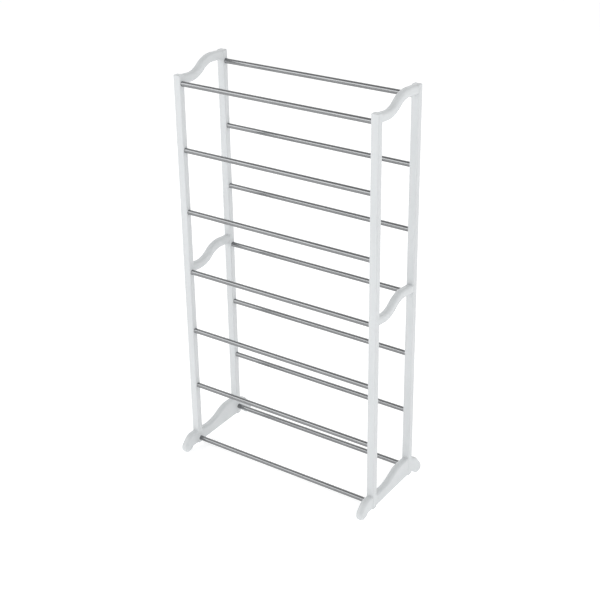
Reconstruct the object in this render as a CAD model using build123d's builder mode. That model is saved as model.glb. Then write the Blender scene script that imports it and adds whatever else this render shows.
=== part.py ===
from build123d import *

import os

# A free-standing rack of slanted shelves: each shelf is a pair of round steel tubes,
# held between two moulded side frames. Each frame stacks from three mouldings: a base
# with a rounded toe and heel, a lower side and an upper side. A side is two posts
# joined by an S-shaped rail at the top.
# Millimetres, +Z up, +X to the right, front towards -Y. The origin is on the floor,
# midway between the four feet.

# shelves
TIER_PITCH = 155.0
MIDDLE_DROP = 2.3
FIRST_TUBE_HEIGHT = 20.5
SLANT = 17.0
TUBE_SPACING = 159.0
CLEAR_WIDTH = 506.0
BASE_TIERS = (1,)
LOWER_TIERS = (2, 3, 4)
UPPER_TIERS = (5, 6, 7)

# tubes, and the blind sockets that hold their ends
TUBE_DIAMETER = 12.0
TUBE_WALL = 0.8
SOCKET_DEPTH = 14.0
SOCKET_PLAY = 0.1

# posts
POST_WIDTH = 20.0
POST_DEPTH = 16.0
POST_CORNER = 3.0
POST_TOP_EDGE = 2.5
POST_FOOT_EDGE = 2.0
SEAM_EDGE = 0.5

# push-fit spigots between the stacked mouldings
SPIGOT_WIDTH = 12.0
SPIGOT_DEPTH = 8.0
SPIGOT_LENGTH = 18.0
SPIGOT_CORNER = 1.5
SPIGOT_TIP = 1.0
SPIGOT_PLAY = 0.2
SPIGOT_END_PLAY = 1.0

# rails, with their height over the front tube of the tier that they join
RAIL_WIDTH = 18.0
RAIL_HEIGHT = 22.0
RAIL_EDGE = 7.0
RAIL_TOP_FRONT = 20.0
RAIL_TOP_BACK = 43.0
RAIL_SINK = 0.6
RAIL_DIP = 2.5
S_MIDDLE = -3.0
S_HALF_LENGTH = 45.0

# base, with the front value before the back one
BASE_EDGE = 6.5
BASE_UNDERSIDES = (8.0, 16.0)
BASE_TOPS = (41.0, 65.5)
BASE_SEAMS = (45.5, 67.5)
BASE_S_MIDDLE = 4.0
FOOT_REACH = 137.0

# outlines of the toe and heel, as (distance from the middle, height, corner radius)
TOE = (
    (114.0, 43.5, 30.0),
    (FOOT_REACH, 20.0, 14.0),
    (FOOT_REACH, 0.0, 12.0),
    (115.5, 0.0, 4.0),
    (106.0, BASE_UNDERSIDES[0], 6.0),
)
TOE_ROOT = 44.0
HEEL = (
    (114.0, 46.5, 30.0),
    (FOOT_REACH, 18.5, 13.0),
    (FOOT_REACH, 0.0, 12.0),
    (116.0, 0.0, 4.0),
    (96.0, BASE_UNDERSIDES[1], 8.0),
)
HEEL_ROOT = 59.0

TUBE_Y = TUBE_SPACING / 2
TUBE_RADIUS = TUBE_DIAMETER / 2
POST_X = (CLEAR_WIDTH + POST_WIDTH) / 2
POST_YS = (-TUBE_Y, TUBE_Y)
POST_HALF_DEPTH = POST_DEPTH / 2


def front_tube_z(tier):
    """Height of the axis of a tier's front tube. The back one is higher by the slant."""
    drop = MIDDLE_DROP if tier in (LOWER_TIERS[1], UPPER_TIERS[1]) else 0
    return FIRST_TUBE_HEIGHT + (tier - 1) * TIER_PITCH - drop


def rail_tops(tier):
    """Heights of a rail's top at the front and back posts."""
    z = front_tube_z(tier)
    return z + RAIL_TOP_FRONT, z + RAIL_TOP_BACK


def export(solid, name):
    solid.label = name
    export_step(solid, f"parts/{name}.step")


def make_tube(y, z):
    """A shelf tube, from the bottom of one socket to the bottom of the other."""
    length = CLEAR_WIDTH + 2 * SOCKET_DEPTH
    with BuildPart() as tube:
        with BuildSketch(Plane.YZ.offset(-length / 2)):
            with Locations((y, z)):
                Circle(TUBE_RADIUS)
                Circle(TUBE_RADIUS - TUBE_WALL, mode=Mode.SUBTRACT)
        extrude(amount=length)
    return tube.part


def make_post(x, y, bottom, top, bottom_edge, top_edge):
    """An upright of rounded rectangular section, with its end edges rounded."""
    with BuildPart() as post:
        with BuildSketch(Plane.XY.offset(bottom)):
            with Locations((x, y)):
                RectangleRounded(POST_WIDTH, POST_DEPTH, POST_CORNER)
        extrude(amount=top - bottom)
        fillet(post.faces().sort_by(Axis.Z)[0].edges(), bottom_edge)
        fillet(post.faces().sort_by(Axis.Z)[-1].edges(), top_edge)
    return post.part


def make_rail(x, front_top, back_top):
    """An S-shaped rail of rounded section, which ends inside the two posts."""
    drop = RAIL_HEIGHT / 2 + RAIL_SINK
    start = Vector(-TUBE_Y, front_top - drop)
    end = Vector(TUBE_Y, back_top - drop)
    dip = Vector(S_MIDDLE - S_HALF_LENGTH, start.Y - RAIL_DIP)
    crest = Vector(S_MIDDLE + S_HALF_LENGTH, end.Y + RAIL_DIP)
    middle = (dip + crest) / 2
    with BuildPart() as rail:
        with BuildSketch(Plane.YZ.offset(x - RAIL_WIDTH / 2)):
            with BuildLine():
                Line(start, dip)
                TangentArc(dip, middle, tangent=dip - start)
                TangentArc(crest, middle, tangent=crest - end)
                Line(crest, end)
            trace(line_width=RAIL_HEIGHT)
        extrude(amount=RAIL_WIDTH)
        fillet(rail.edges().filter_by(Plane.YZ).sort_by(Axis.Y)[2:-2], RAIL_EDGE)
    return rail.part


def make_bar(x):
    """The base's bar between its posts, flat below and S-shaped above."""
    front_z, back_z = BASE_TOPS
    front = (BASE_S_MIDDLE - S_HALF_LENGTH, front_z)
    middle = (BASE_S_MIDDLE, (front_z + back_z) / 2)
    back = (BASE_S_MIDDLE + S_HALF_LENGTH, back_z)
    front_top = (-TUBE_Y, front_z)
    back_top = (TUBE_Y, back_z)
    front_foot = (-TUBE_Y, BASE_UNDERSIDES[0])
    back_foot = (TUBE_Y, BASE_UNDERSIDES[1])
    with BuildPart() as bar:
        with BuildSketch(Plane.YZ.offset(x - RAIL_WIDTH / 2)):
            with BuildLine():
                Polyline(front, front_top, front_foot, back_foot, back_top, back)
                TangentArc(front, middle, tangent=(1, 0))
                TangentArc(back, middle, tangent=(-1, 0))
            make_face()
        extrude(amount=RAIL_WIDTH)
        fillet(bar.edges().filter_by(Plane.YZ).sort_by(Axis.Y)[2:-2], BASE_EDGE)
    return bar.part


def make_foot(x, way, root, corners):
    """A toe (way -1) or heel (way 1): out from its post and down to a small flat pad."""
    top = (way * TUBE_Y, root)
    post_face = (way * (TUBE_Y + POST_HALF_DEPTH), root)
    bend_points = [(way * distance, height) for distance, height, _ in corners]
    inner = (way * TUBE_Y, bend_points[-1][1])
    with BuildPart() as foot:
        with BuildSketch(Plane.YZ.offset(x - RAIL_WIDTH / 2)) as outline:
            with BuildLine():
                Polyline(top, post_face, *bend_points, inner, close=True)
            make_face()
            for point, (_, _, radius) in zip(bend_points, corners):
                fillet(outline.vertices().sort_by_distance(point)[0], radius)
        extrude(amount=RAIL_WIDTH)
        outer_edges = foot.edges().filter_by(Plane.YZ).sort_by(Axis.Y, reverse=way > 0)[:-2]
        fillet(outer_edges, BASE_EDGE)
    return foot.part


def make_frame_piece(name, side, tiers, pieces, sockets_below, spigots_above):
    """Joins the pieces of one moulding, then cuts its sockets and adds its spigots."""
    x = side * POST_X
    tube_ends = [(-TUBE_Y, front_tube_z(tier)) for tier in tiers]
    tube_ends += [(TUBE_Y, front_tube_z(tier) + SLANT) for tier in tiers]
    with BuildPart() as moulding:
        add(pieces)
        with BuildSketch(Plane.YZ.offset(side * CLEAR_WIDTH / 2)):
            with Locations(*tube_ends):
                Circle(TUBE_RADIUS + SOCKET_PLAY)
        extrude(amount=side * SOCKET_DEPTH, mode=Mode.SUBTRACT)

        for y, bottom in zip(POST_YS, sockets_below):
            with BuildSketch(Plane.XY.offset(bottom)):
                with Locations((x, y)):
                    RectangleRounded(
                        SPIGOT_WIDTH + 2 * SPIGOT_PLAY, SPIGOT_DEPTH + 2 * SPIGOT_PLAY, SPIGOT_CORNER
                    )
            extrude(amount=SPIGOT_LENGTH + SPIGOT_END_PLAY, mode=Mode.SUBTRACT)

        for y, top in zip(POST_YS, spigots_above):
            with BuildSketch(Plane.XY.offset(top)):
                with Locations((x, y)):
                    RectangleRounded(SPIGOT_WIDTH, SPIGOT_DEPTH, SPIGOT_CORNER)
            extrude(amount=SPIGOT_LENGTH)
            tip = moulding.faces().filter_by(Axis.Z).sort_by_distance((x, y, top + SPIGOT_LENGTH))[0]
            chamfer(tip.edges(), SPIGOT_TIP)
    export(moulding.part, name)


def make_base(name, side):
    x = side * POST_X
    pieces = [
        make_bar(x),
        make_foot(x, -1, TOE_ROOT, TOE),
        make_foot(x, 1, HEEL_ROOT, HEEL),
    ]
    for y, underside, seam in zip(POST_YS, BASE_UNDERSIDES, BASE_SEAMS):
        pieces.append(make_post(x, y, underside, seam, POST_FOOT_EDGE, SEAM_EDGE))
    make_frame_piece(name, side, BASE_TIERS, pieces, (), BASE_SEAMS)


def make_side(name, side, tiers, bottoms, top_edge, spigots_above):
    """Two posts and the rail that joins them at the last of the tiers."""
    x = side * POST_X
    tops = rail_tops(tiers[-1])
    pieces = [make_rail(x, *tops)]
    for y, bottom, top in zip(POST_YS, bottoms, tops):
        pieces.append(make_post(x, y, bottom, top, SEAM_EDGE, top_edge))
    make_frame_piece(name, side, tiers, pieces, bottoms, spigots_above)


os.makedirs("parts", exist_ok=True)
for tier in BASE_TIERS + LOWER_TIERS + UPPER_TIERS:
    front_z = front_tube_z(tier)
    export(make_tube(-TUBE_Y, front_z), f"tier_{tier}_front_tube")
    export(make_tube(TUBE_Y, front_z + SLANT), f"tier_{tier}_back_tube")

middle_seams = rail_tops(LOWER_TIERS[-1])
for side_name, side in (("left", -1), ("right", 1)):
    make_base(f"{side_name}_base", side)
    make_side(f"{side_name}_lower_side", side, LOWER_TIERS, BASE_SEAMS, SEAM_EDGE, middle_seams)
    make_side(f"{side_name}_upper_side", side, UPPER_TIERS, middle_seams, POST_TOP_EDGE, ())
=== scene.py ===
import math

import bpy
from mathutils import Matrix, Vector


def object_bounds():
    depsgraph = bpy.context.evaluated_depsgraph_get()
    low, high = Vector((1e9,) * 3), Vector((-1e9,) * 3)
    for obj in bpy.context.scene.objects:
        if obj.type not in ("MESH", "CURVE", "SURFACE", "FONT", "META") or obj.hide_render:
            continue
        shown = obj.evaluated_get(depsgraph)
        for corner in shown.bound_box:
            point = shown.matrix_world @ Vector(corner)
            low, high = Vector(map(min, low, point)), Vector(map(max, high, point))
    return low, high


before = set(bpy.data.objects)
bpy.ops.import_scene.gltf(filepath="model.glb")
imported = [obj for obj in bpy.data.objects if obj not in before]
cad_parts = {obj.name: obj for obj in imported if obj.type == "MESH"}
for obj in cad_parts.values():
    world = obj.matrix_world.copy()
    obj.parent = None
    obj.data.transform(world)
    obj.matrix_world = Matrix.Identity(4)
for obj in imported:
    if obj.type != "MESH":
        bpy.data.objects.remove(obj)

# A seven-shelf shoe rack: bright steel tubes in white moulded plastic sides.
# Metres, +Z up, front towards -Y. Angles are in degrees: azimuth 0 is in front of the rack
# and 90 is to its right.

CAD_LOW, CAD_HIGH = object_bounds()
CENTRE = (CAD_LOW + CAD_HIGH) / 2

# camera, with its lens in millimetres and its aim measured from the middle of the rack
CAMERA_AZIMUTH = 35.6
CAMERA_ELEVATION = 25.6
CAMERA_ROLL = 0.8
CAMERA_DISTANCE = 3.023
CAMERA_LENS = 77.4
AIM_RIGHT = 0.006
AIM_UP = -0.046

# soft boxes: name, azimuth, elevation, width, watts
LIGHT_DISTANCE = 3.5
LIGHTS = (
    ("key", -38, 30, 2.2, 30),
    ("fill", 70, 25, 2.4, 13),
    ("back_right", 140, 32, 2.2, 10),
    ("back_left", -145, 28, 2.2, 10),
)

# brightness of the studio around the rack: sine of the elevation, grey
SKY = ((0.06, 1.0), (0.45, 0.82), (0.95, 0.42))

# finishes: the two tones that a noise mixes, and the ends of its range of roughness
PLASTIC_TONES = ((0.615, 0.635, 0.645), (0.65, 0.67, 0.68))
PLASTIC_ROUGHNESS = (0.40, 0.50)
STEEL_TONES = ((0.20, 0.205, 0.21), (0.27, 0.275, 0.28))
STEEL_ROUGHNESS = (0.24, 0.15)
FLOOR_TONES = ((0.90, 0.90, 0.90), (0.92, 0.92, 0.92))
FLOOR_ROUGHNESS = 0.9
FLOOR_GLOW = 0.41

# stage
FLOOR_RADIUS = 12.0
FLOOR_SEGMENTS = 96

# the middle of a noise's range, which holds nearly all of its values
NOISE_LOW = 0.3
NOISE_HIGH = 0.7

# numbers of the sockets that a Mix node has for colours
MIX_FACTOR = 0
MIX_A = 6
MIX_B = 7
MIX_RESULT = 2


def direction(azimuth, elevation):
    """Unit vector from the rack towards that azimuth and elevation."""
    azimuth = math.radians(azimuth)
    elevation = math.radians(elevation)
    flat = math.cos(elevation)
    return Vector((math.sin(azimuth) * flat, -math.cos(azimuth) * flat, math.sin(elevation)))


def make_camera():
    back = direction(CAMERA_AZIMUTH, CAMERA_ELEVATION)
    right = direction(CAMERA_AZIMUTH + 90, 0)
    up = back.cross(right)
    aim = CENTRE + right * AIM_RIGHT + up * AIM_UP
    axes = Matrix((right, up, back)).transposed()
    roll = Matrix.Rotation(-math.radians(CAMERA_ROLL), 3, "Z")
    data = bpy.data.cameras.new("camera")
    data.lens = CAMERA_LENS
    camera = bpy.data.objects.new("camera", data)
    camera.matrix_world = Matrix.Translation(aim + back * CAMERA_DISTANCE) @ (axes @ roll).to_4x4()
    bpy.context.scene.collection.objects.link(camera)
    bpy.context.scene.camera = camera


def make_light(name, azimuth, elevation, width, watts):
    """A square soft box that faces the middle of the rack."""
    data = bpy.data.lights.new(name, "AREA")
    data.size = width
    data.energy = watts
    light = bpy.data.objects.new(name, data)
    back = direction(azimuth, elevation)
    light.location = CENTRE + back * LIGHT_DISTANCE
    light.rotation_mode = "QUATERNION"
    light.rotation_quaternion = back.to_track_quat("Z", "Y")
    bpy.context.scene.collection.objects.link(light)


def add_node(tree, kind, inputs=None, **settings):
    """A shader node with its settings and its unlinked input values."""
    node = tree.nodes.new(kind)
    for name, value in settings.items():
        setattr(node, name, value)
    for name, value in (inputs or {}).items():
        node.inputs[name].default_value = value
    return node


def make_world():
    """An even studio: white at the horizon, greyer overhead."""
    world = bpy.data.worlds.new("studio")
    world.use_nodes = True
    tree = world.node_tree
    place = add_node(tree, "ShaderNodeTexCoord")
    split = add_node(tree, "ShaderNodeSeparateXYZ")
    ramp = add_node(tree, "ShaderNodeValToRGB")
    stops = ramp.color_ramp.elements
    for height, grey in SKY:
        stops.new(height).color = (grey, grey, grey, 1)
    # a new ramp comes with a stop at each end
    stops.remove(stops[-1])
    stops.remove(stops[0])
    tree.links.new(place.outputs["Generated"], split.inputs["Vector"])
    tree.links.new(split.outputs["Z"], ramp.inputs["Fac"])
    tree.links.new(ramp.outputs["Color"], tree.nodes["Background"].inputs["Color"])
    bpy.context.scene.world = world


def new_material(name):
    """(material, node tree, its Principled shader)."""
    material = bpy.data.materials.new(name)
    material.use_nodes = True
    return material, material.node_tree, material.node_tree.nodes["Principled BSDF"]


def noise(tree, scale, detail, roughness=0.5, stretch=(1, 1, 1)):
    """Noise over an object's own coordinates. Under 1, stretch lengthens it along that axis."""
    place = add_node(tree, "ShaderNodeTexCoord")
    mapping = add_node(tree, "ShaderNodeMapping", {"Scale": stretch})
    settings = {"Scale": scale, "Detail": detail, "Roughness": roughness}
    texture = add_node(tree, "ShaderNodeTexNoise", settings)
    tree.links.new(place.outputs["Object"], mapping.inputs["Vector"])
    tree.links.new(mapping.outputs["Vector"], texture.inputs["Vector"])
    return texture.outputs["Fac"]


def spread(tree, factor, low, high):
    """Maps the middle of a noise's range to low..high."""
    limits = {"From Min": NOISE_LOW, "From Max": NOISE_HIGH, "To Min": low, "To Max": high}
    node = add_node(tree, "ShaderNodeMapRange", limits)
    tree.links.new(factor, node.inputs["Value"])
    return node.outputs["Result"]


def mix_tones(tree, factor, tones):
    """A colour that goes from the first tone to the second with a noise."""
    node = add_node(tree, "ShaderNodeMix", data_type="RGBA")
    for socket, tone in zip((MIX_A, MIX_B), tones):
        node.inputs[socket].default_value = (*tone, 1)
    tree.links.new(spread(tree, factor, 0, 1), node.inputs[MIX_FACTOR])
    return node.outputs[MIX_RESULT]


def bump(tree, height, strength, distance):
    """The normals of a surface that a noise raises by up to that distance."""
    node = add_node(tree, "ShaderNodeBump", {"Strength": strength, "Distance": distance})
    tree.links.new(height, node.inputs["Height"])
    return node.outputs["Normal"]


def make_plastic():
    """White moulded plastic: satin, a fine grain, and faint flow marks along the mouldings."""
    material, tree, shader = new_material("white_plastic")
    flow = noise(tree, scale=14, detail=4, stretch=(1, 1, 0.25))
    tree.links.new(mix_tones(tree, flow, PLASTIC_TONES), shader.inputs["Base Color"])
    patches = noise(tree, scale=60, detail=3)
    tree.links.new(spread(tree, patches, *PLASTIC_ROUGHNESS), shader.inputs["Roughness"])
    grain = noise(tree, scale=1600, detail=2)
    tree.links.new(bump(tree, grain, strength=0.25, distance=0.00006), shader.inputs["Normal"])
    shader.inputs["Subsurface Weight"].default_value = 0.12
    shader.inputs["Subsurface Radius"].default_value = (1, 1, 1)
    shader.inputs["Subsurface Scale"].default_value = 0.002
    return material


def make_steel():
    """Bright drawn steel tube: fine lines along its length, on the X axis."""
    material, tree, shader = new_material("drawn_steel")
    lines = noise(tree, scale=1500, detail=3, roughness=0.6, stretch=(0.012, 1, 1))
    tree.links.new(mix_tones(tree, lines, STEEL_TONES), shader.inputs["Base Color"])
    tree.links.new(spread(tree, lines, *STEEL_ROUGHNESS), shader.inputs["Roughness"])
    tree.links.new(bump(tree, lines, strength=0.3, distance=0.00004), shader.inputs["Normal"])
    tangent = add_node(tree, "ShaderNodeTangent", direction_type="RADIAL", axis="X")
    tree.links.new(tangent.outputs["Tangent"], shader.inputs["Tangent"])
    shader.inputs["Metallic"].default_value = 1
    shader.inputs["Anisotropic"].default_value = 0.5
    return material


def make_floor_finish():
    """Matt and nearly white, with a faint mottle, and a glow that hides its far edge."""
    material, tree, shader = new_material("floor")
    mottle = noise(tree, scale=3, detail=3)
    tree.links.new(mix_tones(tree, mottle, FLOOR_TONES), shader.inputs["Base Color"])
    shader.inputs["Roughness"].default_value = FLOOR_ROUGHNESS
    shader.inputs["Emission Color"].default_value = (1, 1, 1, 1)
    shader.inputs["Emission Strength"].default_value = FLOOR_GLOW
    return material


def make_floor():
    """A round floor, in one plane with the feet's pads."""
    turn = 2 * math.pi / FLOOR_SEGMENTS
    rim = [
        (FLOOR_RADIUS * math.cos(k * turn), FLOOR_RADIUS * math.sin(k * turn), CAD_LOW.z)
        for k in range(FLOOR_SEGMENTS)
    ]
    mesh = bpy.data.meshes.new("floor")
    mesh.from_pydata(rim, [], [range(FLOOR_SEGMENTS)])
    mesh.materials.append(make_floor_finish())
    floor = bpy.data.objects.new("floor", mesh)
    bpy.context.scene.collection.objects.link(floor)


def dress_nodes():
    """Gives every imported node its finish."""
    steel = make_steel()
    plastic = make_plastic()
    for name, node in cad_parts.items():
        material = steel if name.endswith("_tube") else plastic
        for slot in node.material_slots:
            slot.material = material


dress_nodes()
make_floor()
for light_settings in LIGHTS:
    make_light(*light_settings)
make_world()
make_camera()
bpy.context.scene.view_settings.view_transform = "Standard"
